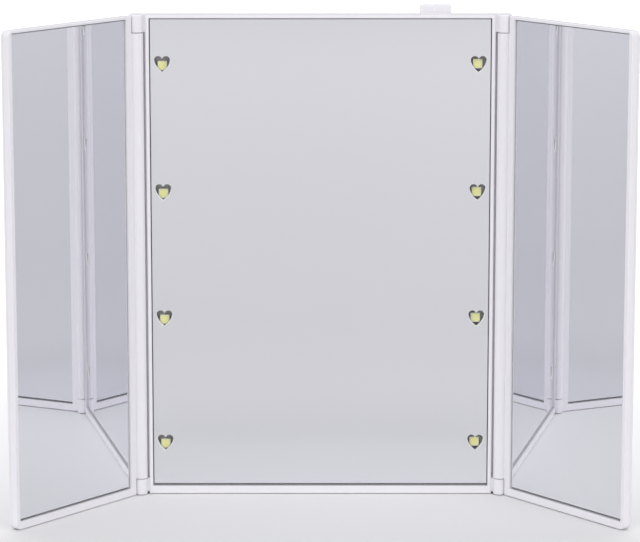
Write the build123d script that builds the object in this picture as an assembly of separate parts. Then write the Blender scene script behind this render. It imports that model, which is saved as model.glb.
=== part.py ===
from build123d import *
import math
import os

os.makedirs("parts", exist_ok=True)

# ---------------------------------------------------------------------------------------------
# Three-panel lighted makeup mirror. Millimetres, +Z up, +X to the viewer's right, +Y away from
# the viewer. The origin is on the underside of the centre panel, below the mirror's front face,
# midway between the two hinges. The wings are modelled folded forward as they stand in use.
# ---------------------------------------------------------------------------------------------

# centre panel
H = 189.5            # height of all three panels
PANEL_HALF = 67.5    # half width of the centre panel
LIP_Y = -0.8         # front face of the lips, the mirror's face being y = 0
SEAM_Y = 3.8         # where front bezel and rear housing meet
HOUSING_HALF = 74.2  # half width of the rear housing, which reaches behind the hinge barrels
REAR_Y = 9.8         # rear face of the panel's border
OPEN_HALF = 66.0     # half width of the mirror recess
OPEN_Z0, OPEN_Z1 = 3.2, 188.35
RECESS_Y = 2.4       # floor of the mirror recess
FLOOR_Y = 3.4        # rear side of that floor
WALL = 1.4

# raised middle of the rear housing
PLAT_HALF = 56.0
PLAT_Z0, PLAT_Z1 = 8.0, 187.6
PLAT_Y = 17.0
PLAT_WALL_Y = 15.6

# centre mirror
GLASS_HALF = 65.7
GLASS_Z0, GLASS_Z1 = 4.05, 188.05
GLASS_T = 2.0
TAPE_T = RECESS_Y - GLASS_T

# lights
HEART_X = 61.05
HEART_Z = [20.6, 70.6, 120.6, 170.6]
HEART_W, HEART_H = 6.1, 6.2
HEART_CHAMFER = 0.22
LED_DROP_LEFT, LED_DROP_RIGHT, LED_SHIFT_RIGHT = 0.85, 0.05, -0.3
LED_W, LED_T, LED_Y = 3.7, 1.85, 2.35
PHOSPHOR_W, PHOSPHOR_T = 3.1, 0.3
BOARD_W, BOARD_T = 7.6, 1.0
BOARD_Y = LED_Y + LED_T
BOARD_Z0, BOARD_Z1 = 12.0, 180.0
PEG_Z = [45.6, 95.6, 145.6]

# hinges
AXIS_X, AXIS_Y = 70.6, -1.1
BARREL_R = 2.4
KNUCKLE_H = 6.4
KNUCKLE_TOP = 190.0
HINGE_GAP = 0.25
PIN_R = 0.75
KNUCKLE_BORE_R, BARREL_BORE_R = 0.76, 0.80
PIN_L = 14.2

# wings (distances u are from the hinge axis, in the unfolded pose)
WING_ANGLE = 51.5    # forward of the centre panel's plane, as it stands
WING_END = 70.2
WING_OPEN0, WING_OPEN1 = 5.7, 68.35
WING_GLASS0, WING_GLASS1 = 6.0, 68.05
WING_GLASS_Z0, WING_GLASS_Z1 = 3.85, 188.05
WING_GLASS_T = 1.8
WING_SPLIT_Y = 2.1
WING_BACK_Y = 3.5
WING_CORNER_R = 2.5

# power button and its switch
BUTTON_X, BUTTON_Y = 44.65, 11.8
BUTTON_W, BUTTON_D, BUTTON_TOP = 12.4, 3.2, 192.5
BUTTON_TRAVEL = 1.5
SWITCH_W = 7.0
SWITCH_BOARD_Z = 172.4
SWITCH_BOARD_T = 1.2

# battery bay
CELL_R, CELL_L, CELL_PITCH = 5.15, 44.5, 10.9
CELL_Y = 9.95
BAY_HALF, BAY_Z0, BAY_Z1 = 22.0, 20.0, 70.0
BAY_FLOOR_Y = 4.7
DOOR_HALF, DOOR_Z0, DOOR_Z1, DOOR_T = 23.4, 20.2, 73.0, 1.5
DOOR_GAP = 0.3

# screws
SCREW_X, SCREW_Z = 50.0, [16.0, 92.0, 158.0]
SCREW_SEAT_Y = 9.4

WIRE_R = 0.55


def block(x0, x1, y0, y1, z0, z1):
    return Pos((x0 + x1) / 2, (y0 + y1) / 2, (z0 + z1) / 2) * Box(x1 - x0, y1 - y0, z1 - z0)


def upright(r, x, y, z0, z1):
    """Cylinder along Z."""
    return Pos(x, y, (z0 + z1) / 2) * Cylinder(r, z1 - z0)


def across(r, x, z, y0, y1):
    """Cylinder along Y."""
    return Pos(x, (y0 + y1) / 2, z) * Rot(90, 0, 0) * Cylinder(r, y1 - y0)


def solid(shape):
    """The one solid of a shape, or all of its solids as a compound."""
    found = shape.solids()
    return found[0] if len(found) == 1 else Compound(children=list(found))


def save(name, shape):
    shape = solid(shape)
    shape.label = name
    export_step(shape, f"parts/{name}.step")
    return shape


def edges_at(part, test):
    return [e for e in part.edges() if test(e)]


# ------------------------------------------------------------------ heart outline, in X and Z
def heart(x, z, y0, y1, grow=0.0):
    w, h = HEART_W / 2 + grow, HEART_H / 2 + grow
    notch = (0, h * 0.60)
    side = (w, h * 0.42)
    tip = (0, -h)
    line = [
        ThreePointArc(notch, (w * 0.50, h * 1.0), side),
        ThreePointArc(side, (w * 0.66, -h * 0.36), tip),
        ThreePointArc(tip, (-w * 0.66, -h * 0.36), (-w, h * 0.42)),
        ThreePointArc((-w, h * 0.42), (-w * 0.50, h * 1.0), notch),
    ]
    face = make_face(Wire(line))
    body = extrude(Plane.XZ * face, amount=-(y1 - y0))
    box = body.bounding_box()
    return Pos(x, y0 - box.min.Y, z) * body


# ------------------------------------------------------------------ front bezel
def knuckle(side, z0, z1, domed):
    x = side * AXIS_X
    post = upright(BARREL_R, x, AXIS_Y, z0, z1)
    top = post.edges().filter_by(GeomType.CIRCLE).sort_by(Axis.Z)
    post = fillet(top[-1] if domed else top[0], 0.7)
    a, b = sorted((x, side * (PANEL_HALF - 0.6)))
    web = block(a, b, LIP_Y + 0.3, SEAM_Y - 0.2, z0 + (0 if domed else 0.9), z1 - (0.9 if domed else 0))
    return post + web


outer = block(-PANEL_HALF, PANEL_HALF, LIP_Y, SEAM_Y, 0, H)
outer = chamfer(outer.faces().sort_by(Axis.Y)[0].edges(), 0.3)
outer = chamfer(outer.faces().sort_by(Axis.Y)[-1].edges(), 0.12)
bezel = outer - block(-OPEN_HALF, OPEN_HALF, LIP_Y - 1, RECESS_Y, OPEN_Z0, OPEN_Z1)
# plug ring that fits inside the rear housing's front opening
bezel += block(-OPEN_HALF + 0.05, OPEN_HALF - 0.05, FLOOR_Y - 0.2, 5.4, 1.6, H - 1.6)
bezel -= block(-OPEN_HALF + 0.95, OPEN_HALF - 0.95, FLOOR_Y, 6.0, 2.5, H - 2.5)

for sx in (-1, 1):
    for z in HEART_Z:
        bezel -= block(sx * HEART_X - 3.7, sx * HEART_X + 3.7, RECESS_Y - 0.5, FLOOR_Y + 0.5, z - 4.2, z + 3.4)
    for z in PEG_Z:
        bezel += across(1.8, sx * HEART_X, z, FLOOR_Y - 0.2, BOARD_Y)
        bezel += across(0.75, sx * HEART_X, z, FLOOR_Y - 0.2, BOARD_Y + BOARD_T + 0.6)
    for z in SCREW_Z:
        bezel += across(2.6, sx * SCREW_X, z, FLOOR_Y - 0.2, 8.1)
    # stiffening ribs beside the boards
    bezel += block(sx * 55.4 - 0.5, sx * 55.4 + 0.5, FLOOR_Y - 0.2, 5.0, 2.4, H - 2.4)
    bezel += block(sx * 30.0 - 0.5, sx * 30.0 + 0.5, FLOOR_Y - 0.2, 5.0, 2.4, 132.0)
for z in (80.0, 105.0, 132.0, 182.0):
    bezel += block(-55.4, 55.4, FLOOR_Y - 0.2, 5.0, z - 0.5, z + 0.5)
for sx in (-1, 1):
    for z in SCREW_Z:
        bezel -= across(0.96, sx * SCREW_X, z, 4.0, 9.0)
    bezel += knuckle(sx, 0, KNUCKLE_H, False)
    bezel += knuckle(sx, H - KNUCKLE_H, KNUCKLE_TOP, True)
    bezel -= upright(KNUCKLE_BORE_R, sx * AXIS_X, AXIS_Y, 1.0, KNUCKLE_H + 1)
    bezel -= upright(KNUCKLE_BORE_R, sx * AXIS_X, AXIS_Y, H - KNUCKLE_H - 1, H - 1.0)
save("front_bezel", bezel)

# ------------------------------------------------------------------ rear housing
border = block(-HOUSING_HALF, HOUSING_HALF, SEAM_Y, REAR_Y, 0, H)
border = fillet(edges_at(border, lambda e: abs(e.length - (REAR_Y - SEAM_Y)) < 1e-6), 1.0)
border = fillet(border.faces().sort_by(Axis.Y)[-1].edges(), 1.2)
border = chamfer(border.faces().sort_by(Axis.Y)[0].edges(), 0.12)
plateau = block(-PLAT_HALF, PLAT_HALF, REAR_Y - 1.0, PLAT_Y, PLAT_Z0, PLAT_Z1)
plateau = fillet(edges_at(plateau, lambda e: abs(e.length - (PLAT_Y - REAR_Y + 1.0)) < 1e-6), 5.0)
plateau = fillet(plateau.faces().sort_by(Axis.Y)[-1].edges(), 2.0)
housing = border + plateau
mouth = block(-OPEN_HALF - 0.05, OPEN_HALF + 0.05, SEAM_Y - 1, SEAM_Y + 2.5, 1.5, H - 1.5)
hollow = block(-HOUSING_HALF + WALL, HOUSING_HALF - WALL, SEAM_Y + WALL, REAR_Y - WALL, WALL, H - WALL)
inner = block(-PLAT_HALF + WALL, PLAT_HALF - WALL, SEAM_Y, PLAT_WALL_Y, PLAT_Z0 + WALL, PLAT_Z1 - WALL)
inner = fillet(edges_at(inner, lambda e: abs(e.length - (PLAT_WALL_Y - SEAM_Y)) < 1e-6), 3.6)
housing = housing - mouth - hollow - inner

# battery bay
bay = block(-BAY_HALF - 1.2, BAY_HALF + 1.2, 3.7, PLAT_WALL_Y + 0.2, BAY_Z0 - 2.4, BAY_Z1 + 1.2)
bay += block(-BAY_HALF - 3.2, BAY_HALF + 3.2, 13.4, PLAT_WALL_Y + 0.2, BAY_Z0 - 2.4, DOOR_Z1 + 1.8)
bay -= block(-BAY_HALF, BAY_HALF, BAY_FLOOR_Y, PLAT_Y + 1, BAY_Z0, BAY_Z1)
housing += bay
housing -= block(-BAY_HALF, BAY_HALF, BAY_FLOOR_Y, PLAT_Y + 1, BAY_Z0, BAY_Z1)
housing -= block(-DOOR_HALF - DOOR_GAP, DOOR_HALF + DOOR_GAP, PLAT_Y - DOOR_T - 0.1, PLAT_Y + 1, DOOR_Z0 - DOOR_GAP, DOOR_Z1 + DOOR_GAP)
for x in (-1, 0, 1):  # low dividers between the cells
    housing += block(x * CELL_PITCH - 0.8, x * CELL_PITCH + 0.8, BAY_FLOOR_Y - 0.2, BAY_FLOOR_Y + 2.0, 27.0, 63.0)
for sx in (-1, 1):  # pockets for the door's two lower tabs
    housing -= block(sx * CELL_PITCH - 3.3, sx * CELL_PITCH + 3.3, 13.5, PLAT_WALL_Y, BAY_Z0 - 1.7, BAY_Z0 + 0.1)
# slots that the two end contacts' solder tabs pass through
for x in (-1.5, 1.5):
    housing -= block(x * CELL_PITCH - 1.2, x * CELL_PITCH + 1.2, 9.6, 10.3, BAY_Z1 - 0.5, BAY_Z1 + 1.5)
# finger scoop above the door's snap tongue
scoop = across(6.0, 0, DOOR_Z1 + 1.5, PLAT_Y - 0.8, PLAT_Y + 1)
housing -= scoop

# screw wells
for sx in (-1, 1):
    for z in SCREW_Z:
        housing += across(4.0, sx * SCREW_X, z, SCREW_SEAT_Y - 1.2, PLAT_WALL_Y + 0.2)
        housing -= across(2.7, sx * SCREW_X, z, SCREW_SEAT_Y, PLAT_Y + 1)
        housing -= across(1.2, sx * SCREW_X, z, SCREW_SEAT_Y - 2, SCREW_SEAT_Y + 1)

# shelf that carries the switch board, and the button's slot in the top wall
SHELF_Z1 = SWITCH_BOARD_Z
for dx in (-8.6, 7.2):
    housing += block(BUTTON_X + dx, BUTTON_X + dx + 1.4, 7.0, PLAT_WALL_Y + 0.2, SHELF_Z1 - 6.0, SHELF_Z1)
housing += block(BUTTON_X - 8.6, BUTTON_X + 8.6, 14.0, PLAT_WALL_Y + 0.2, SHELF_Z1 - 1.4, SHELF_Z1)
housing -= block(BUTTON_X - BUTTON_W / 2 - 0.15, BUTTON_X + BUTTON_W / 2 + 0.15, BUTTON_Y - BUTTON_D / 2 - 0.15,
                 BUTTON_Y + BUTTON_D / 2 + 0.15, PLAT_Z1 - WALL - 1, PLAT_Z1 + 1)
save("rear_housing", housing)

# ------------------------------------------------------------------ centre mirror and its tape
mirror_plate = block(-GLASS_HALF, GLASS_HALF, 0, GLASS_T, GLASS_Z0, GLASS_Z1)
mirror_plate = chamfer(mirror_plate.faces().sort_by(Axis.Y)[0].edges(), 0.12)
for sx in (-1, 1):
    for z in HEART_Z:
        mirror_plate -= heart(sx * HEART_X, z, -0.5, GLASS_T + 0.5)
# the windows' front edges are broken with a small chamfer
mirror_plate = chamfer(edges_at(mirror_plate, lambda e: abs(e.center().Y) < 1e-6 and e.length < 12), HEART_CHAMFER)
save("centre_mirror", mirror_plate)

tape = [
    block(-54, 54, GLASS_T, RECESS_Y, 8.0, 20.0),
    block(-54, 54, GLASS_T, RECESS_Y, 172.0, 184.0),
    block(-54, -42, GLASS_T, RECESS_Y, 24.0, 168.0),
    block(42, 54, GLASS_T, RECESS_Y, 24.0, 168.0),
    block(-6, 6, GLASS_T, RECESS_Y, 24.0, 168.0),
]
save("centre_mirror_tape", Compound(children=tape))

# ------------------------------------------------------------------ LED boards and LEDs
for side, sx in (("left", -1), ("right", 1)):
    board = block(sx * HEART_X - BOARD_W / 2, sx * HEART_X + BOARD_W / 2, BOARD_Y, BOARD_Y + BOARD_T, BOARD_Z0, BOARD_Z1)
    for z in PEG_Z:
        board -= across(0.85, sx * HEART_X, z, BOARD_Y - 1, BOARD_Y + BOARD_T + 1)
    save(f"{side}_led_board", board)
    packages, phosphors = [], []
    drop = LED_DROP_LEFT if sx < 0 else LED_DROP_RIGHT
    shift = 0 if sx < 0 else LED_SHIFT_RIGHT
    for z in HEART_Z:
        x, zc, a, b = sx * HEART_X + shift, z - drop, LED_W / 2, PHOSPHOR_W / 2
        body = block(x - a, x + a, LED_Y, LED_Y + LED_T, zc - a, zc + a)
        body -= block(x - b, x + b, LED_Y - 1, LED_Y + PHOSPHOR_T, zc - b, zc + b)
        packages.append(solid(body))
        phosphors.append(block(x - b + 0.01, x + b - 0.01, LED_Y + 0.02, LED_Y + PHOSPHOR_T, zc - b + 0.01, zc + b - 0.01))
    save(f"{side}_led_packages", Compound(children=packages))
    save(f"{side}_led_phosphors", Compound(children=phosphors))

chips = []
for sx in (-1, 1):
    for z in HEART_Z:
        chips.append(block(sx * HEART_X - 0.65, sx * HEART_X + 0.65, BOARD_Y + BOARD_T, BOARD_Y + BOARD_T + 0.5, z + 5.0, z + 7.0))
save("led_resistors", Compound(children=chips))

# ------------------------------------------------------------------ switch
sb0, sb1 = SWITCH_BOARD_Z, SWITCH_BOARD_Z + SWITCH_BOARD_T
board = block(BUTTON_X - 8.4, BUTTON_X + 8.4, 7.2, 15.4, sb0, sb1)
save("switch_board", board)
can_z1 = sb1 + 7.0
a = SWITCH_W / 2
can = block(BUTTON_X - a, BUTTON_X + a, BUTTON_Y - a, BUTTON_Y + a, sb1, can_z1)
can = fillet(edges_at(can, lambda e: abs(e.length - 7.0) < 1e-6 and abs(e.center().Z - (sb1 + can_z1) / 2) < 1e-6), 0.5)
can -= block(BUTTON_X - 2.6, BUTTON_X + 2.6, BUTTON_Y - 2.6, BUTTON_Y + 2.6, sb1 - 1, can_z1 - 0.8)
can -= block(BUTTON_X - 1.6, BUTTON_X + 1.6, BUTTON_Y - 1.6, BUTTON_Y + 1.6, can_z1 - 2, can_z1 + 1)
save("switch_can", can)
# plunger: foot inside the can, stem up into the button's socket
stem_top = 184.4
plunger = block(BUTTON_X - 2.3, BUTTON_X + 2.3, BUTTON_Y - 2.3, BUTTON_Y + 2.3, can_z1 - 2.3, can_z1 - 0.95)
plunger += block(BUTTON_X - 1.4, BUTTON_X + 1.4, BUTTON_Y - 1.4, BUTTON_Y + 1.4, can_z1 - 2.0, stem_top)
save("switch_plunger", plunger)
# return spring between the board and the plunger's foot
spring_wire, spring_r = 0.3, 1.5
spring_h = (can_z1 - 2.3) - sb1 - spring_wire - 0.06
path = Helix(pitch=spring_h / 5.0, height=spring_h, radius=spring_r)
section = Plane(origin=path @ 0, z_dir=path % 0) * Circle(spring_wire / 2)
coil = Pos(BUTTON_X, BUTTON_Y, sb1 + spring_wire / 2 + 0.03) * sweep(section, path=path, is_frenet=True)
save("switch_spring", coil)
print("switch spring foot at z", sb1)

# power button: cap, inside flange and the socket on the plunger
bw, bd = BUTTON_W / 2, BUTTON_D / 2
button = block(BUTTON_X - bw, BUTTON_X + bw, BUTTON_Y - bd, BUTTON_Y + bd, 182.6, BUTTON_TOP)
button = fillet(edges_at(button, lambda e: abs(e.length - (BUTTON_TOP - 182.6)) < 1e-6), 0.7)
button = fillet(button.faces().sort_by(Axis.Z)[-1].edges(), 0.45)
button += block(BUTTON_X - bw - 1.2, BUTTON_X + bw + 1.2, BUTTON_Y - bd - 0.5, BUTTON_Y + bd + 0.5, 184.6, 186.0)
button -= block(BUTTON_X - 1.42, BUTTON_X + 1.42, BUTTON_Y - 1.42, BUTTON_Y + 1.42, 182.0, stem_top + 0.02)
save("power_button", button)

# ------------------------------------------------------------------ battery cells and contacts
cell_x = [(i - 1.5) * CELL_PITCH for i in range(4)]
plus_down = [True, False, True, False]
cells, springs = [], []
PLATE_T = 0.4
SPRING_L = 3.9
for x, down in zip(cell_x, plus_down):
    z0 = BAY_Z0 + PLATE_T + 0.05 if down else BAY_Z1 - PLATE_T - 0.05 - CELL_L
    nub = 1.0
    if down:
        can_body = upright(CELL_R, x, CELL_Y, z0 + nub, z0 + CELL_L)
        tip = upright(1.9, x, CELL_Y, z0, z0 + nub + 0.5)
    else:
        can_body = upright(CELL_R, x, CELL_Y, z0, z0 + CELL_L - nub)
        tip = upright(1.9, x, CELL_Y, z0 + CELL_L - nub - 0.5, z0 + CELL_L)
    can_body = fillet(can_body.edges().filter_by(GeomType.CIRCLE), 0.4)
    cells.append(solid(can_body + tip))
    wire, r = 0.5, 2.4
    turns = 3.0
    run = SPRING_L - wire
    line = Helix(pitch=run / turns, height=run, radius=r)
    face = Plane(origin=line @ 0, z_dir=line % 0) * Circle(wire / 2)
    one = sweep(face, path=line, is_frenet=True)
    base = BAY_Z1 - PLATE_T - 0.03 - wire / 2 - run if down else BAY_Z0 + PLATE_T + 0.03 + wire / 2
    springs.append(solid(Pos(x, CELL_Y, base) * one))
save("aaa_cells", Compound(children=cells))
save("battery_springs", Compound(children=springs))


def plate(x0, x1, top):
    z0, z1 = (BAY_Z1 - PLATE_T, BAY_Z1) if top else (BAY_Z0, BAY_Z0 + PLATE_T)
    return block(x0, x1, CELL_Y - 3.6, CELL_Y + 3.2, z0, z1)


h = 4.2
p_first = plate(cell_x[0] - h, cell_x[0] + h, True) + block(cell_x[0] - 1.0, cell_x[0] + 1.0, 9.75, 10.15, BAY_Z1 - PLATE_T, 74.5)
p_last = plate(cell_x[3] - h, cell_x[3] + h, True) + block(cell_x[3] - 1.0, cell_x[3] + 1.0, 9.75, 10.15, BAY_Z1 - PLATE_T, 74.5)
plates = [
    solid(p_first),
    plate(cell_x[1] - h, cell_x[2] + h, True),
    solid(p_last),
    plate(cell_x[0] - h, cell_x[1] + h, False),
    plate(cell_x[2] - h, cell_x[3] + h, False),
]
save("battery_contacts", Compound(children=plates))

# ------------------------------------------------------------------ battery door
door = block(-DOOR_HALF, DOOR_HALF, PLAT_Y - DOOR_T, PLAT_Y, DOOR_Z0, DOOR_Z1)
door = fillet(edges_at(door, lambda e: abs(e.length - DOOR_T) < 1e-6), 1.0)
door = chamfer(door.faces().sort_by(Axis.Y)[-1].edges(), 0.25)
for i in range(5):  # grip grooves
    z = 62.0 - 1.8 * i
    door -= block(-9.0, 9.0, PLAT_Y - 0.5, PLAT_Y + 1, z - 0.45, z + 0.45)
for sx in (-1, 1):  # slits that free the snap tongue
    door -= block(sx * 6.0 - 0.35, sx * 6.0 + 0.35, PLAT_Y - 3, PLAT_Y + 1, 66.0, DOOR_Z1 + 1)
for sx in (-1, 1):  # tabs that hook behind the housing at the lower edge
    x = sx * CELL_PITCH
    door += block(x - 1.8, x + 1.8, 14.2, PLAT_Y - DOOR_T + 0.1, DOOR_Z0 + 0.1, DOOR_Z0 + 0.9)
    door += block(x - 1.8, x + 1.8, 14.2, 15.2, DOOR_Z0 - 1.5, DOOR_Z0 + 0.9)
save("battery_door", door)

# ------------------------------------------------------------------ wires inside the panel
def wire(name, points, radii):
    path = FilletPolyline(*points, radius=radii)
    face = Plane(origin=path @ 0, z_dir=path % 0) * Circle(WIRE_R)
    tube = sweep(face, path=path)
    expected = math.pi * WIRE_R ** 2 * path.length
    print(f"{name}: length {path.length:.1f}, volume {tube.volume:.2f} against {expected:.2f}, radii {radii}")
    save(name, tube)


board_back = BOARD_Y + BOARD_T
wire("wire_battery_to_switch",
     [(cell_x[3], 10.75, 73.6), (cell_x[3], 10.75, 84), (35.5, 11.0, 100), (35.5, 12.0, 150), (39.5, 11.0, 162.0), (39.5, 11.0, SWITCH_BOARD_Z)],
     [9.0, 12.0, 14.0, 6.0])
wire("wire_switch_to_right_leds",
     [(50.5, 8.4, SWITCH_BOARD_Z), (50.5, 8.4, 167.0), (55.0, 7.0, 162.4), (61.0, 7.6, 159.6), (61.0, board_back, 159.6)],
     [3.4, 5.0, 1.9])
wire("wire_switch_to_left_leds",
     [(36.9, 9.5, sb1), (36.9, 9.5, 179.6), (27.0, 7.4, 182.4), (0, 7.0, 180.0), (-46.0, 7.0, 182.4), (-56.0, 7.2, 177.4), (-61.0, 7.6, 172.0), (-61.0, board_back, 172.0)],
     [4.0, 30.0, 120.0, 10.0, 6.0, 1.9])
wire("wire_return_to_left_leds",
     [(cell_x[0], 10.75, 73.6), (cell_x[0], 10.75, 79.6), (-26.0, 8.2, 84.6), (-44.0, 7.0, 82.4), (-56.0, 7.2, 85.6), (-61.0, 7.6, 81.4), (-61.0, board_back, 81.4)],
     [5.0, 16.0, 16.0, 4.5, 1.9])
wire("wire_return_to_right_leds",
     [(cell_x[0], 9.15, 73.6), (cell_x[0], 8.6, 78.2), (-6.0, 7.4, 84.0), (18.0, 7.2, 86.4), (40.0, 7.0, 81.4), (55.0, 7.2, 85.6), (61.0, 7.6, 81.4), (61.0, board_back, 81.4)],
     [4.4, 26.0, 26.0, 18.0, 5.0, 1.9])

# ------------------------------------------------------------------ screws
screws = []
for sx in (-1, 1):
    for z in SCREW_Z:
        head = across(2.1, sx * SCREW_X, z, SCREW_SEAT_Y, SCREW_SEAT_Y + 1.6)
        head = fillet(head.edges().filter_by(GeomType.CIRCLE).sort_by(Axis.Y)[-1], 0.6)
        shank = across(0.95, sx * SCREW_X, z, 4.4, SCREW_SEAT_Y + 0.2)
        slots = block(sx * SCREW_X - 1.2, sx * SCREW_X + 1.2, SCREW_SEAT_Y + 0.9, SCREW_SEAT_Y + 2, z - 0.25, z + 0.25)
        slots += block(sx * SCREW_X - 0.25, sx * SCREW_X + 0.25, SCREW_SEAT_Y + 0.9, SCREW_SEAT_Y + 2, z - 1.2, z + 1.2)
        screws.append(solid(head + shank - slots))
save("housing_screws", Compound(children=screws))

# ------------------------------------------------------------------ hinge pins
for side, sx in (("left", -1), ("right", 1)):
    pins = [upright(PIN_R, sx * AXIS_X, AXIS_Y, 1.1, 1.1 + PIN_L), upright(PIN_R, sx * AXIS_X, AXIS_Y, H - 1.1 - PIN_L, H - 1.1)]
    save(f"{side}_hinge_pins", Compound(children=pins))


# ------------------------------------------------------------------ wings, made unfolded at the right
def wing_parts():
    ax = AXIS_X
    z_low, z_high = KNUCKLE_H + HINGE_GAP, H - KNUCKLE_H - HINGE_GAP
    frame = block(ax + 1.0, ax + WING_END, LIP_Y, WING_SPLIT_Y, 0, H)
    frame = fillet(edges_at(frame, lambda e: abs(e.length - (WING_SPLIT_Y - LIP_Y)) < 1e-6 and e.center().X > ax + 10), WING_CORNER_R)
    frame = chamfer([e for e in frame.faces().sort_by(Axis.Y)[0].edges() if e.center().X > ax + 2], 0.3)
    frame = chamfer([e for e in frame.faces().sort_by(Axis.Y)[-1].edges() if e.center().X > ax + 2], 0.12)
    frame -= block(ax + WING_OPEN0, ax + WING_OPEN1, LIP_Y - 1, WING_SPLIT_Y + 1, OPEN_Z0, OPEN_Z1)
    frame += upright(BARREL_R, ax, AXIS_Y, z_low, z_high)
    frame += block(ax, ax + 2.6, LIP_Y, WING_SPLIT_Y, z_low, z_high)
    for z0, z1 in ((-1, z_low), (z_high, H + 1)):
        frame -= block(ax - 4, ax + 1.2, -8, 8, z0, z1)
        frame -= upright(BARREL_R + 0.35, ax, AXIS_Y, z0, z1)
    frame -= upright(BARREL_BORE_R, ax, AXIS_Y, z_low - 1, z_low + 9.2)
    frame -= upright(BARREL_BORE_R, ax, AXIS_Y, z_high - 9.2, z_high + 1)
    cover = block(ax + 2.6, ax + WING_END, WING_SPLIT_Y, WING_BACK_Y, 0, H)
    cover = fillet(edges_at(cover, lambda e: abs(e.length - (WING_BACK_Y - WING_SPLIT_Y)) < 1e-6 and e.center().X > ax + 10), WING_CORNER_R)
    cover = fillet([e for e in cover.faces().sort_by(Axis.Y)[-1].edges() if e.center().X > ax + 4], 0.8)
    cover = chamfer([e for e in cover.faces().sort_by(Axis.Y)[0].edges() if e.center().X > ax + 4], 0.12)
    glass = block(ax + WING_GLASS0, ax + WING_GLASS1, 0, WING_GLASS_T, WING_GLASS_Z0, WING_GLASS_Z1)
    glass = chamfer(glass.faces().sort_by(Axis.Y)[0].edges(), 0.12)
    strips = [block(ax + 9, ax + 19, WING_GLASS_T, WING_SPLIT_Y, 8, 184), block(ax + 55, ax + 65, WING_GLASS_T, WING_SPLIT_Y, 8, 184),
              block(ax + 32, ax + 42, WING_GLASS_T, WING_SPLIT_Y, 8, 184)]
    return {"wing_frame": frame, "wing_back_cover": cover, "wing_mirror": glass, "wing_mirror_tape": Compound(children=strips)}


for name, shape in wing_parts().items():
    shape = solid(shape)
    right = shape.rotate(Axis((AXIS_X, AXIS_Y, 0), (0, 0, 1)), -WING_ANGLE)
    left = mirror(right, about=Plane.YZ)
    save(f"right_{name}", right)
    save(f"left_{name}", left)
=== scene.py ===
import bpy, bmesh, math
from mathutils import Vector, Matrix


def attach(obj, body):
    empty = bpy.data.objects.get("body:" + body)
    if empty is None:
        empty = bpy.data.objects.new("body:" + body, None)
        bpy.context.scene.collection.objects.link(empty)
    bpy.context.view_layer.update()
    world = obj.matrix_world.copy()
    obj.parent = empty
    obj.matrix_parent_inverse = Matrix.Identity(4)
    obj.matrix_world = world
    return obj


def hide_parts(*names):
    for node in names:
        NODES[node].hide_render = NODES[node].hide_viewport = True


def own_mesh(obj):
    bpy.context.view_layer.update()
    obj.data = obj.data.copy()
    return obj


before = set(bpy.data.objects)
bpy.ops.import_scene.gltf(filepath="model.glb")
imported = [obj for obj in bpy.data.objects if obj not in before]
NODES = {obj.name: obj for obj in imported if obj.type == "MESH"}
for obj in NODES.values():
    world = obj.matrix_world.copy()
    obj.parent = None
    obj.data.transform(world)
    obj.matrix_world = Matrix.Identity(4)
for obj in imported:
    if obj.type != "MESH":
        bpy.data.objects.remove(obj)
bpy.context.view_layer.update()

scene = bpy.context.scene
MM = 0.001


# ------------------------------------------------------------------ camera
# Pinhole fitted to the corners of the three mirrors for a 640 x 542 frame, no shift.
CAM_X, CAM_D, CAM_Z = -0.15 * MM, 1181.4 * MM, 312.9 * MM
PITCH = math.radians(10.71)
FOCAL_PX = 3080.0
cam_data = bpy.data.cameras.new("camera")
cam_data.sensor_fit = "HORIZONTAL"
cam_data.sensor_width = 36.0
cam_data.lens = FOCAL_PX * 36.0 / 640.0
cam_data.clip_start, cam_data.clip_end = 0.05, 60.0
cam = bpy.data.objects.new("camera", cam_data)
scene.collection.objects.link(cam)
cam.location = (CAM_X, -CAM_D, CAM_Z)
cam.rotation_euler = (math.pi / 2 - PITCH, 0.0, 0.0)
scene.camera = cam
scene.view_settings.view_transform = "Standard"
scene.view_settings.look = "None"
scene.view_settings.exposure = 0.0
scene.view_settings.gamma = 1.0


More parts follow.
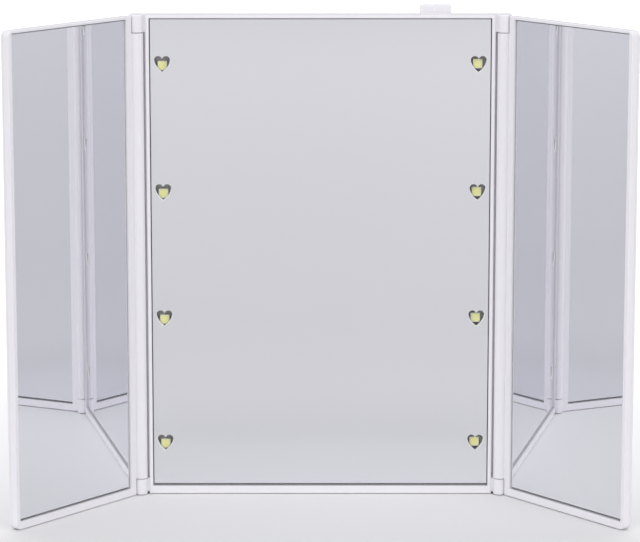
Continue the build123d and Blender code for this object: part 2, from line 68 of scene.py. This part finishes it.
# ------------------------------------------------------------------ node helpers
class Mat:
    """A small builder for one procedural material."""

    def __init__(self, name):
        self.m = bpy.data.materials.new(name)
        self.m.use_nodes = True
        self.t = self.m.node_tree
        self.t.nodes.clear()
        self.out = self.t.nodes.new("ShaderNodeOutputMaterial")
        self.p = self.t.nodes.new("ShaderNodeBsdfPrincipled")
        self.link(self.p.outputs["BSDF"], self.out.inputs["Surface"])
        tc = self.t.nodes.new("ShaderNodeTexCoord")
        self.co = tc.outputs["Object"]
        self.x = 0

    def link(self, a, b):
        self.t.links.new(a, b)

    def set(self, **kw):
        for k, v in kw.items():
            self.p.inputs[k.replace("_", " ")].default_value = v
        return self

    def mapping(self, scale=(1, 1, 1), rot=(0, 0, 0), loc=(0, 0, 0), src=None):
        n = self.t.nodes.new("ShaderNodeMapping")
        n.inputs["Scale"].default_value = scale
        n.inputs["Rotation"].default_value = rot
        n.inputs["Location"].default_value = loc
        self.link(src or self.co, n.inputs["Vector"])
        return n.outputs["Vector"]

    def noise(self, scale, detail=3.0, rough=0.55, vec=None, distortion=0.0):
        n = self.t.nodes.new("ShaderNodeTexNoise")
        n.inputs["Scale"].default_value = scale
        n.inputs["Detail"].default_value = detail
        n.inputs["Roughness"].default_value = rough
        n.inputs["Distortion"].default_value = distortion
        self.link(vec or self.co, n.inputs["Vector"])
        return n.outputs["Fac"]

    def voronoi(self, scale, vec=None, feature="F1", randomness=1.0):
        n = self.t.nodes.new("ShaderNodeTexVoronoi")
        n.feature = feature
        n.inputs["Scale"].default_value = scale
        n.inputs["Randomness"].default_value = randomness
        self.link(vec or self.co, n.inputs["Vector"])
        return n.outputs["Distance"]

    def wave(self, scale, axis="X", distortion=0.0, vec=None, kind="BANDS"):
        n = self.t.nodes.new("ShaderNodeTexWave")
        n.wave_type = kind
        n.bands_direction = axis
        n.inputs["Scale"].default_value = scale
        n.inputs["Distortion"].default_value = distortion
        self.link(vec or self.co, n.inputs["Vector"])
        return n.outputs["Fac"]

    def span(self, src, a, b, lo=0.0, hi=1.0, smooth=False):
        """src mapped from [lo, hi] to [a, b], clamped."""
        n = self.t.nodes.new("ShaderNodeMapRange")
        if smooth:
            n.interpolation_type = "SMOOTHSTEP"
        n.clamp = True
        n.inputs["From Min"].default_value = lo
        n.inputs["From Max"].default_value = hi
        n.inputs["To Min"].default_value = a
        n.inputs["To Max"].default_value = b
        self.link(src, n.inputs["Value"])
        return n.outputs["Result"]

    def ramp(self, src, *stops):
        n = self.t.nodes.new("ShaderNodeValToRGB")
        els = n.color_ramp.elements
        while len(els) > 1:
            els.remove(els[-1])
        els[0].position, els[0].color = stops[0][0], (*stops[0][1], 1)
        for pos, c in stops[1:]:
            e = els.new(pos)
            e.color = (*c, 1)
        self.link(src, n.inputs["Fac"])
        return n.outputs["Color"]

    def math(self, op, a, b=None, clamp=False):
        n = self.t.nodes.new("ShaderNodeMath")
        n.operation = op
        n.use_clamp = clamp
        for i, v in enumerate((a, b)):
            if v is None:
                continue
            if isinstance(v, (int, float)):
                n.inputs[i].default_value = v
            else:
                self.link(v, n.inputs[i])
        return n.outputs[0]

    def mix(self, fac, a, b, kind="MIX"):
        n = self.t.nodes.new("ShaderNodeMix")
        n.data_type = "RGBA"
        n.blend_type = kind
        for sock, v in ((n.inputs[0], fac), (n.inputs[6], a), (n.inputs[7], b)):
            if isinstance(v, (int, float)):
                sock.default_value = v
            elif isinstance(v, tuple):
                sock.default_value = (*v, 1)
            else:
                self.link(v, sock)
        return n.outputs[2]

    def bump(self, height, strength, distance, normal=None):
        n = self.t.nodes.new("ShaderNodeBump")
        n.inputs["Strength"].default_value = strength
        n.inputs["Distance"].default_value = distance
        self.link(height, n.inputs["Height"])
        if normal is not None:
            self.link(normal, n.inputs["Normal"])
        return n.outputs["Normal"]

    def bevel(self, radius, samples=4):
        n = self.t.nodes.new("ShaderNodeBevel")
        n.samples = samples
        n.inputs["Radius"].default_value = radius
        return n.outputs["Normal"]

    def edges(self, radius, gain=6.0):
        """1 near a sharp edge, 0 on the flats: how far the bevelled normal turns from the true one."""
        b = self.bevel(radius)
        g = self.t.nodes.new("ShaderNodeNewGeometry").outputs["Normal"]
        d = self.t.nodes.new("ShaderNodeVectorMath")
        d.operation = "DOT_PRODUCT"
        self.link(b, d.inputs[0])
        self.link(g, d.inputs[1])
        one = self.math("SUBTRACT", 1.0, d.outputs["Value"])
        return self.math("MULTIPLY", one, gain, clamp=True), b

    def to(self, sock, socket_name):
        self.link(sock, self.p.inputs[socket_name])
        return self


def plastic(name, light, dark, rough=(0.17, 0.27), coat=0.0, grain=0.0, peel=0.03, wear_and_highlight=True):
    """Moulded ABS. Slow flow marks in the colour, a fine skin, faint handling scuffs in the gloss,
    and, where grain is set, the spark-eroded texture of a tool face."""
    m = Mat(name)
    flow = m.noise(26.0, 4.0, 0.6, vec=m.mapping((1.0, 1.0, 0.35)))
    base = m.ramp(flow, (0.30, dark), (0.70, light))
    specks = m.noise(2300.0, 2.0, 0.5)
    base = m.mix(m.span(specks, 0.0, 0.035, 0.62, 0.74), base, tuple(c * 0.72 for c in dark))
    if wear_and_highlight:
        # edge mask: the lighter colour on edges is a painted highlight where edges catch light; the rougher gloss
        # added below on the same mask is wear
        edge, bevelled = m.edges(0.28 * MM, 5.0)
        wear_and_edge_highlight = m.math("MULTIPLY", edge, m.span(m.noise(95.0, 3.0, 0.6), 0.0, 0.55, 0.42, 0.68))
        base = m.mix(wear_and_edge_highlight, base, tuple(min(1.0, c * 1.045) for c in light))
    m.to(base, "Base Color")
    scuff = m.noise(70.0, 6.0, 0.72, vec=m.mapping((5.0, 5.0, 0.6), (0.0, 0.0, 0.5)))
    fine = m.noise(640.0, 3.0, 0.6)
    r = m.math("ADD", m.span(scuff, rough[0], rough[1], 0.36, 0.68), m.span(fine, -0.02, 0.02))
    if wear_and_highlight:
        r = m.math("ADD", r, m.math("MULTIPLY", wear_and_edge_highlight, 0.09))
    m.to(r, "Roughness")
    skin = m.noise(420.0, 2.0, 0.5)
    n = m.bump(skin, peel, 0.05 * MM, bevelled if wear_and_highlight else None)
    if grain:
        g = m.noise(3400.0, 3.0, 0.65)
        n = m.bump(g, grain, 0.05 * MM, n)
    m.to(n, "Normal")
    m.set(IOR=1.52, Coat_Weight=coat, Coat_Roughness=0.07)
    return m.m


def mirror_face(name):
    """Silvered plate. Nearly perfect reflection, a cool cast, and a breath of haze from wiping."""
    m = Mat(name)
    tint = m.noise(7.0, 3.0, 0.5)
    m.to(m.ramp(tint, (0.25, (0.850, 0.853, 0.888)), (0.75, (0.866, 0.867, 0.898))), "Base Color")
    wipe = m.noise(24.0, 5.0, 0.65, vec=m.mapping((1.0, 1.0, 3.2), (0.0, 0.5, 0.35)), distortion=0.4)
    dust = m.noise(1900.0, 2.0, 0.5)
    r = m.math("ADD", m.span(wipe, 0.006, 0.022, 0.40, 0.78), m.span(dust, 0.0, 0.05, 0.70, 0.80))
    m.to(r, "Roughness")
    wavy = m.noise(15.0, 1.0, 0.4)
    m.to(m.bump(wavy, 0.02, 0.04 * MM), "Normal")
    m.set(Metallic=1.0)
    return m.m


def mirror_edge(name, light, dark):
    """Ground edge of the mirror plate. Its lighter copies are painted light on the heart window walls and a painted
    highlight on their chamfer.
    """
    m = Mat(name)
    grind = m.noise(900.0, 3.0, 0.6, vec=m.mapping((1.0, 1.0, 0.15)))
    m.to(m.ramp(grind, (0.3, dark), (0.7, light)), "Base Color")
    m.to(m.span(grind, 0.22, 0.48), "Roughness")
    m.to(m.bump(grind, 0.12, 0.02 * MM), "Normal")
    m.set(IOR=1.5)
    return m.m


def mirror_paint(name):
    """Grey protective paint on the back of the silvering."""
    m = Mat(name)
    roll = m.noise(160.0, 4.0, 0.6, vec=m.mapping((1.0, 1.0, 0.2)))
    m.to(m.ramp(roll, (0.3, (0.13, 0.135, 0.145)), (0.7, (0.185, 0.19, 0.20))), "Base Color")
    m.to(m.span(roll, 0.42, 0.6), "Roughness")
    m.to(m.bump(m.noise(1400.0, 2.0), 0.12, 0.03 * MM), "Normal")
    return m.m


def metal(name, light, dark, rough=(0.18, 0.34), brush=(1.0, 1.0, 12.0), scale=260.0, bump=0.05, tarnish=None):
    """Plated or drawn metal with a brushed grain and blotchy dulling."""
    m = Mat(name)
    g = m.noise(scale, 4.0, 0.6, vec=m.mapping(brush))
    blot = m.noise(150.0, 4.0, 0.6)
    c = m.ramp(g, (0.3, dark), (0.7, light))
    if tarnish:
        c = m.mix(m.span(blot, 0.0, 0.5, 0.5, 0.75), c, tarnish)
    m.to(c, "Base Color")
    r = m.math("ADD", m.span(g, rough[0], rough[1], 0.3, 0.7), m.span(blot, 0.0, 0.10, 0.45, 0.75))
    m.to(r, "Roughness")
    m.to(m.bump(g, bump, 0.03 * MM, m.bevel(0.06 * MM, 3)), "Normal")
    m.set(Metallic=1.0)
    return m.m


def foam(name):
    """Closed-cell tape: pores, a soft tooth and no gloss."""
    m = Mat(name)
    cells = m.voronoi(2600.0)
    soft = m.noise(300.0, 4.0, 0.65)
    m.to(m.ramp(soft, (0.3, (0.44, 0.44, 0.45)), (0.7, (0.60, 0.60, 0.61))), "Base Color")
    m.to(m.span(soft, 0.82, 0.96), "Roughness")
    n = m.bump(cells, 0.5, 0.10 * MM)
    m.to(m.bump(soft, 0.25, 0.15 * MM, n), "Normal")
    return m.m


def board(name, mask, mask_dark, copper_glow):
    """Glass-epoxy board under solder mask: woven ground and tracks showing as faint ridges."""
    m = Mat(name)
    wx = m.wave(900.0, "X", 0.6)
    wz = m.wave(900.0, "Z", 0.6)
    weave = m.math("MULTIPLY", wx, wz)
    tone = m.noise(60.0, 3.0, 0.5)
    base = m.ramp(tone, (0.3, mask_dark), (0.7, mask))
    track = m.span(m.wave(48.0, "X", 0.0), 0.0, 1.0, 0.80, 0.86, True)
    base = m.mix(m.math("MULTIPLY", track, 0.45), base, copper_glow)
    base = m.mix(m.math("MULTIPLY", weave, 0.10), base, tuple(c * 0.6 for c in mask_dark))
    m.to(base, "Base Color")
    m.to(m.math("ADD", m.span(tone, 0.28, 0.40), m.math("MULTIPLY", weave, 0.08)), "Roughness")
    n = m.bump(track, 0.5, 0.035 * MM)
    m.to(m.bump(weave, 0.18, 0.02 * MM, n), "Normal")
    m.set(Coat_Weight=0.35, Coat_Roughness=0.15)
    return m.m


def phosphor(name):
    """Silicone filled with yellow phosphor: granular, slightly domed sheen, paler where it thins."""
    m = Mat(name)
    grain = m.noise(5200.0, 3.0, 0.65)
    cloud = m.noise(700.0, 3.0, 0.5)
    c = m.ramp(grain, (0.25, (0.90, 0.89, 0.30)), (0.75, (0.95, 0.94, 0.46)))
    c = m.mix(m.span(cloud, 0.0, 0.5, 0.45, 0.7), c, (0.94, 0.93, 0.58))
    m.to(c, "Base Color")
    m.to(m.span(grain, 0.26, 0.44), "Roughness")
    m.to(m.bump(grain, 0.16, 0.03 * MM, m.bump(cloud, 0.3, 0.10 * MM)), "Normal")
    m.set(IOR=1.45, Subsurface_Weight=0.12, Subsurface_Scale=0.6 * MM, Coat_Weight=0.35, Coat_Roughness=0.12)
    m.p.inputs["Subsurface Radius"].default_value = (1.0, 0.9, 0.35)
    return m.m


def led_body(name):
    m = Mat(name)
    sinter = m.noise(3000.0, 3.0, 0.6)
    m.to(m.ramp(sinter, (0.3, (0.84, 0.83, 0.72)), (0.7, (0.93, 0.92, 0.83))), "Base Color")
    m.to(m.span(sinter, 0.30, 0.46), "Roughness")
    m.to(m.bump(sinter, 0.1, 0.02 * MM, m.bevel(0.10 * MM, 3)), "Normal")
    return m.m


def black_part(name, tone=0.03, rough=(0.30, 0.5)):
    m = Mat(name)
    g = m.noise(1900.0, 3.0, 0.6)
    s = m.noise(120.0, 4.0, 0.6)
    m.to(m.ramp(s, (0.3, (tone * 0.7,) * 3), (0.7, (tone * 1.3,) * 3)), "Base Color")
    m.to(m.span(g, *rough), "Roughness")
    m.to(m.bump(g, 0.10, 0.02 * MM, m.bevel(0.12 * MM, 3)), "Normal")
    return m.m


def pvc(name, light, dark):
    """Wire insulation: a faint mottle, a fine bump and a soft oily gloss."""
    m = Mat(name)
    t = m.noise(330.0, 3.0, 0.6)
    m.to(m.ramp(t, (0.3, dark), (0.7, light)), "Base Color")
    m.to(m.span(t, 0.30, 0.46), "Roughness")
    m.to(m.bump(m.noise(2500.0, 2.0), 0.08, 0.02 * MM), "Normal")
    m.set(Coat_Weight=0.15, Coat_Roughness=0.25)
    return m.m


def jacket(name):
    """Shrink sleeve of a plain cell: dark body and one plain coloured band toward the positive end."""
    m = Mat(name)
    sep = m.t.nodes.new("ShaderNodeSeparateXYZ")
    m.link(m.co, sep.inputs[0])
    z = sep.outputs["Z"]
    band = m.span(z, 0.0, 1.0, 57.0 * MM, 57.3 * MM)
    cloud = m.noise(90.0, 4.0, 0.6)
    dark = m.ramp(cloud, (0.3, (0.020, 0.036, 0.070)), (0.7, (0.034, 0.055, 0.10)))
    gold = m.ramp(cloud, (0.3, (0.42, 0.30, 0.12)), (0.7, (0.55, 0.41, 0.19)))
    m.to(m.mix(band, dark, gold), "Base Color")
    m.to(m.span(cloud, 0.16, 0.30), "Roughness")
    m.to(m.bump(m.noise(260.0, 3.0), 0.12, 0.06 * MM), "Normal")
    m.to(m.span(band, 0.0, 0.75), "Metallic")
    m.set(Coat_Weight=0.5, Coat_Roughness=0.10)
    return m.m


# ------------------------------------------------------------------ materials
WHITE = (0.868, 0.853, 0.886)
WHITE_D = (0.850, 0.834, 0.870)
M_GLOSS = plastic("abs_gloss_white", WHITE, WHITE_D, (0.15, 0.27), coat=0.25)
M_KEY = plastic("abs_key_white", (0.875, 0.862, 0.888), (0.858, 0.845, 0.873), (0.20, 0.32), coat=0.15)
M_SATIN = plastic("abs_satin_white", (0.835, 0.825, 0.852), (0.812, 0.80, 0.832), (0.34, 0.48), grain=0.20, peel=0.05)
M_DOOR = plastic("abs_door_white", (0.845, 0.833, 0.858), (0.822, 0.81, 0.84), (0.32, 0.46), grain=0.16, peel=0.05)
M_MIRROR = mirror_face("mirror_silvered")
M_EDGE = mirror_edge("mirror_ground_edge", (0.36, 0.37, 0.375), (0.25, 0.26, 0.262))
# lighter copy of the ground edge: painted light on the heart window walls, which sit in shade
M_WALL_PAINTED_LIGHT = mirror_edge("mirror_window_wall_painted_light", (0.74, 0.75, 0.74), (0.62, 0.63, 0.62))
# bright copy of the ground edge: a painted highlight outline on the heart window chamfer
M_BEVEL_PAINTED_HIGHLIGHT = mirror_edge("mirror_window_bevel_painted_highlight", (0.93, 0.93, 0.95), (0.86, 0.86, 0.89))
M_PAINT = mirror_paint("mirror_back_paint")
M_FOAM = foam("foam_tape")
M_LEDBOARD = board("board_led", (0.66, 0.66, 0.64), (0.56, 0.56, 0.54), (0.74, 0.71, 0.60))
M_SWBOARD = board("board_switch", (0.035, 0.16, 0.07), (0.022, 0.11, 0.05), (0.12, 0.32, 0.14))
M_PHOSPHOR = phosphor("led_phosphor")
M_LEDBODY = led_body("led_body")
M_CERAMIC = black_part("resistor_body", 0.028, (0.25, 0.42))
M_SOLDER = metal("tinned_ends", (0.80, 0.80, 0.80), (0.62, 0.62, 0.63), (0.22, 0.38), (1, 1, 1), 900.0, 0.12)
M_SWITCH = black_part("switch_body", 0.035, (0.34, 0.52))
M_STEM = plastic("switch_stem", (0.78, 0.76, 0.70), (0.72, 0.70, 0.65), (0.26, 0.40))
M_SPRING = metal("spring_wire", (0.66, 0.66, 0.67), (0.46, 0.46, 0.47), (0.20, 0.34), (1, 1, 5.0), 700.0, 0.10)
M_CONTACT = metal("contact_nickel", (0.80, 0.775, 0.72), (0.63, 0.61, 0.57), (0.20, 0.36), (8.0, 1, 1), 180.0, 0.06,
                  (0.50, 0.44, 0.34))
M_STEEL = metal("screw_zinc", (0.70, 0.70, 0.71), (0.47, 0.47, 0.49), (0.24, 0.42), (1, 5.0, 1), 500.0, 0.10,
                (0.36, 0.36, 0.40))
M_PIN = metal("pin_steel", (0.72, 0.72, 0.73), (0.54, 0.54, 0.55), (0.12, 0.24), (1, 1, 0.1), 900.0, 0.05)
M_JACKET = jacket("cell_jacket")
M_CAN = metal("cell_steel", (0.78, 0.77, 0.75), (0.62, 0.61, 0.60), (0.16, 0.30), (1, 1, 1), 420.0, 0.06,
              (0.50, 0.47, 0.42))
M_RED = pvc("wire_red", (0.48, 0.018, 0.015), (0.36, 0.010, 0.010))
M_BLACK = pvc("wire_black", (0.022, 0.022, 0.024), (0.012, 0.012, 0.013))


# ------------------------------------------------------------------ giving the CAD nodes their finish
def paint(node, default, *rules):
    """default everywhere, and each rule's material where its test on (face centre, face normal) holds."""
    o = NODES[node]
    me = o.data
    me.materials.clear()
    me.materials.append(default)
    for mat, _ in rules:
        me.materials.append(mat)
    for f in me.polygons:
        f.material_index = 0
        for i, (_, test) in enumerate(rules):
            if test(f.center, f.normal):
                f.material_index = i + 1
                break


def components(me):
    """Each face's loose piece, as a list of lists of face indices."""
    bm = bmesh.new()
    bm.from_mesh(me)
    bmesh.ops.remove_doubles(bm, verts=bm.verts, dist=1e-7)
    bm.faces.ensure_lookup_table()
    seen, out = set(), []
    same = len(bm.faces) == len(me.polygons)
    for f in bm.faces:
        if f.index in seen:
            continue
        todo, part = [f], []
        seen.add(f.index)
        while todo:
            g = todo.pop()
            part.append(g.index)
            for e in g.edges:
                for h in e.link_faces:
                    if h.index not in seen:
                        seen.add(h.index)
                        todo.append(h)
        out.append(part)
    bm.free()
    return out if same else [list(range(len(me.polygons)))]


def cap_ends(node, body, ends, share):
    """Ends of each loose piece, along its longest side, get the second material."""
    o = NODES[node]
    me = o.data
    me.materials.clear()
    me.materials.append(body)
    me.materials.append(ends)
    for part in components(me):
        cs = [me.polygons[i].center for i in part]
        vs = [me.vertices[v].co for i in part for v in me.polygons[i].vertices]
        lo = [min(v[k] for v in vs) for k in range(3)]
        hi = [max(v[k] for v in vs) for k in range(3)]
        k = max(range(3), key=lambda a: hi[a] - lo[a])
        edge = (hi[k] - lo[k]) * share
        for i, c in zip(part, cs):
            me.polygons[i].material_index = 1 if c[k] < lo[k] + edge or c[k] > hi[k] - edge else 0


WING = math.radians(51.5)
N_CENTRE = Vector((0, -1, 0))
N_RIGHT = Vector((-math.sin(WING), -math.cos(WING), 0))
N_LEFT = Vector((math.sin(WING), -math.cos(WING), 0))


def near_window(c):
    return 57.5 * MM < abs(c.x) < 64.6 * MM and any(abs(c.z - z * MM) < 3.6 * MM for z in (20.6, 70.6, 120.6, 170.6))


def mirror(node, n, windows=False):
    # the narrow chamfer round the face counts as the ground edge
    rules = [(M_MIRROR, lambda c, m: m.dot(n) > 0.995), (M_PAINT, lambda c, m: m.dot(n) < -0.995)]
    if windows:
        # the window chamfer gets the painted highlight, the window walls the painted light
        rules += [(M_BEVEL_PAINTED_HIGHLIGHT, lambda c, m: m.dot(n) > 0.3 and near_window(c)), (M_WALL_PAINTED_LIGHT, lambda c, m: near_window(c))]
    paint(node, M_EDGE, *rules)


paint("front_bezel", M_GLOSS)
paint("rear_housing", M_SATIN)
mirror("centre_mirror", N_CENTRE, True)
mirror("left_wing_mirror", N_LEFT)
mirror("right_wing_mirror", N_RIGHT)
for n in ("centre_mirror_tape", "left_wing_mirror_tape", "right_wing_mirror_tape"):
    paint(n, M_FOAM)
for n in ("left_led_board", "right_led_board"):
    paint(n, M_LEDBOARD)
paint("switch_board", M_SWBOARD)
for n in ("left_led_packages", "right_led_packages"):
    paint(n, M_LEDBODY)
for n in ("left_led_phosphors", "right_led_phosphors"):
    paint(n, M_PHOSPHOR)
cap_ends("led_resistors", M_CERAMIC, M_SOLDER, 0.2)
paint("switch_can", M_SWITCH)
paint("switch_plunger", M_STEM)
for n in ("switch_spring", "battery_springs"):
    paint(n, M_SPRING)
cap_ends("aaa_cells", M_JACKET, M_CAN, 0.035)
paint("battery_contacts", M_CONTACT)
for n in ("wire_battery_to_switch", "wire_switch_to_right_leds", "wire_switch_to_left_leds"):
    paint(n, M_RED)
for n in ("wire_return_to_left_leds", "wire_return_to_right_leds"):
    paint(n, M_BLACK)
paint("housing_screws", M_STEEL)
for n in ("left_hinge_pins", "right_hinge_pins"):
    paint(n, M_PIN)
paint("power_button", M_KEY)
paint("battery_door", M_DOOR)
for n in ("left_wing_frame", "right_wing_frame"):
    paint(n, M_GLOSS)
for n in ("left_wing_back_cover", "right_wing_back_cover"):
    paint(n, M_SATIN)


# ------------------------------------------------------------------ the switch's return spring
# Stands for the CAD spring: a copy of its mesh on the centre panel body, with the CAD spring hidden.
spring = bpy.data.objects.new("switch_return_spring", NODES["switch_spring"].data.copy())
scene.collection.objects.link(spring)
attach(spring, "centre_panel")
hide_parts("switch_spring")
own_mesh(spring)


# ------------------------------------------------------------------ floor and light
def floor_painted_light_material():
    """Pale studio paper with light and shade painted into its colour along Y: painted shade makes it a little greyer
    toward the front of the set, and painted light makes it lighter just in front of the object and whiter behind.
    """
    m = Mat("floor_paper_painted_light")
    sep = m.t.nodes.new("ShaderNodeSeparateXYZ")
    m.link(m.co, sep.inputs[0])
    t = m.noise(1.3, 3.0, 0.5)
    y = m.math("ADD", sep.outputs["Y"], m.span(t, -0.03, 0.03))
    n = m.t.nodes.new("ShaderNodeFloatCurve")
    n.inputs["Factor"].default_value = 1.0
    m.link(m.span(y, 0.0, 1.0, -2.2, 0.6), n.inputs["Value"])
    c = n.mapping.curves[0]
    # painted light and shade: paper albedo by Y, darker across the front, rising near the object and behind it
    painted_light_stops = [(-2.2, 0.61), (-1.6, 0.60), (-0.9, 0.572), (-0.5, 0.568), (-0.26, 0.570), (-0.12, 0.62), (-0.06, 0.71), (0.15, 0.84), (0.6, 0.90)]
    c.points[0].location = ((painted_light_stops[0][0] + 2.2) / 2.8, painted_light_stops[0][1])
    c.points[1].location = ((painted_light_stops[-1][0] + 2.2) / 2.8, painted_light_stops[-1][1])
    for a, b in painted_light_stops[1:-1]:
        c.points.new((a + 2.2) / 2.8, b)
    n.mapping.update()
    comb = m.t.nodes.new("ShaderNodeCombineColor")
    for k, g in (("Red", 0.995), ("Green", 0.992), ("Blue", 1.005)):
        m.link(m.math("MULTIPLY", n.outputs["Value"], g), comb.inputs[k])
    m.to(comb.outputs["Color"], "Base Color")
    m.to(m.span(m.noise(60.0, 3.0), 0.75, 0.9), "Roughness")
    m.to(m.bump(m.noise(500.0, 3.0), 0.03, 0.1 * MM), "Normal")
    m.p.inputs["Specular IOR Level"].default_value = 0.2
    return m.m


bm = bmesh.new()
bmesh.ops.create_grid(bm, x_segments=24, y_segments=24, size=14.0)
me = bpy.data.meshes.new("floor")
bm.to_mesh(me)
bm.free()
floor = bpy.data.objects.new("floor", me)
floor.location = (0, 0, -0.0002)
scene.collection.objects.link(floor)
me.materials.append(floor_painted_light_material())

world = bpy.data.worlds.new("studio")
scene.world = world
world.use_nodes = True
wt = world.node_tree
wt.nodes.clear()
w_out = wt.nodes.new("ShaderNodeOutputWorld")
w_bg = wt.nodes.new("ShaderNodeBackground")
w_tc = wt.nodes.new("ShaderNodeTexCoord")
w_sep = wt.nodes.new("ShaderNodeSeparateXYZ")
w_ramp = wt.nodes.new("ShaderNodeValToRGB")
w_map = wt.nodes.new("ShaderNodeMapRange")
w_side = wt.nodes.new("ShaderNodeMapRange")
w_mul = wt.nodes.new("ShaderNodeVectorMath")
w_mul.operation = "SCALE"
wt.links.new(w_tc.outputs["Generated"], w_sep.inputs[0])
wt.links.new(w_sep.outputs["Z"], w_map.inputs["Value"])
w_map.inputs["From Min"].default_value = -0.2
w_map.inputs["From Max"].default_value = 1.0
wt.links.new(w_map.outputs["Result"], w_ramp.inputs["Fac"])
w_ramp.color_ramp.elements[0].position = 0.12
w_ramp.color_ramp.elements[0].color = (0.80, 0.80, 0.82, 1)
w_ramp.color_ramp.elements[1].position = 0.85
w_ramp.color_ramp.elements[1].color = (0.98, 0.98, 1.0, 1)
# the studio is a little brighter on the left than on the right
wt.links.new(w_sep.outputs["X"], w_side.inputs["Value"])
w_side.inputs["From Min"].default_value = -1.0
w_side.inputs["From Max"].default_value = 1.0
w_side.inputs["To Min"].default_value = 1.06
w_side.inputs["To Max"].default_value = 0.90
wt.links.new(w_ramp.outputs["Color"], w_mul.inputs[0])
wt.links.new(w_side.outputs["Result"], w_mul.inputs["Scale"])
wt.links.new(w_mul.outputs["Vector"], w_bg.inputs["Color"])
w_bg.inputs["Strength"].default_value = 0.88
wt.links.new(w_bg.outputs["Background"], w_out.inputs["Surface"])


def softbox(name, loc, target, size, power, spread=180.0, color=(1, 1, 1)):
    d = bpy.data.lights.new(name, "AREA")
    d.shape = "RECTANGLE"
    d.size, d.size_y = size
    d.energy = power
    d.color = color
    d.spread = math.radians(spread)
    o = bpy.data.objects.new(name, d)
    o.location = loc
    o.rotation_euler = (Vector(target) - Vector(loc)).to_track_quat("-Z", "Y").to_euler()
    scene.collection.objects.link(o)
    return o


softbox("key", (-0.9, -1.7, 1.5), (0, 0, 0.1), (1.2, 1.0), 12.0)
softbox("fill", (1.3, -1.5, 1.2), (0, 0, 0.1), (1.2, 1.0), 8.0)
# lights the paper behind the object and nothing else
backdrop = softbox("backdrop_light", (0, 2.2, 2.4), (0, 2.0, 0), (4.5, 2.2), 34.0, 100.0)
paper_only = bpy.data.collections.new("paper_only")
paper_only.objects.link(floor)
backdrop.light_linking.receiver_collection = paper_only
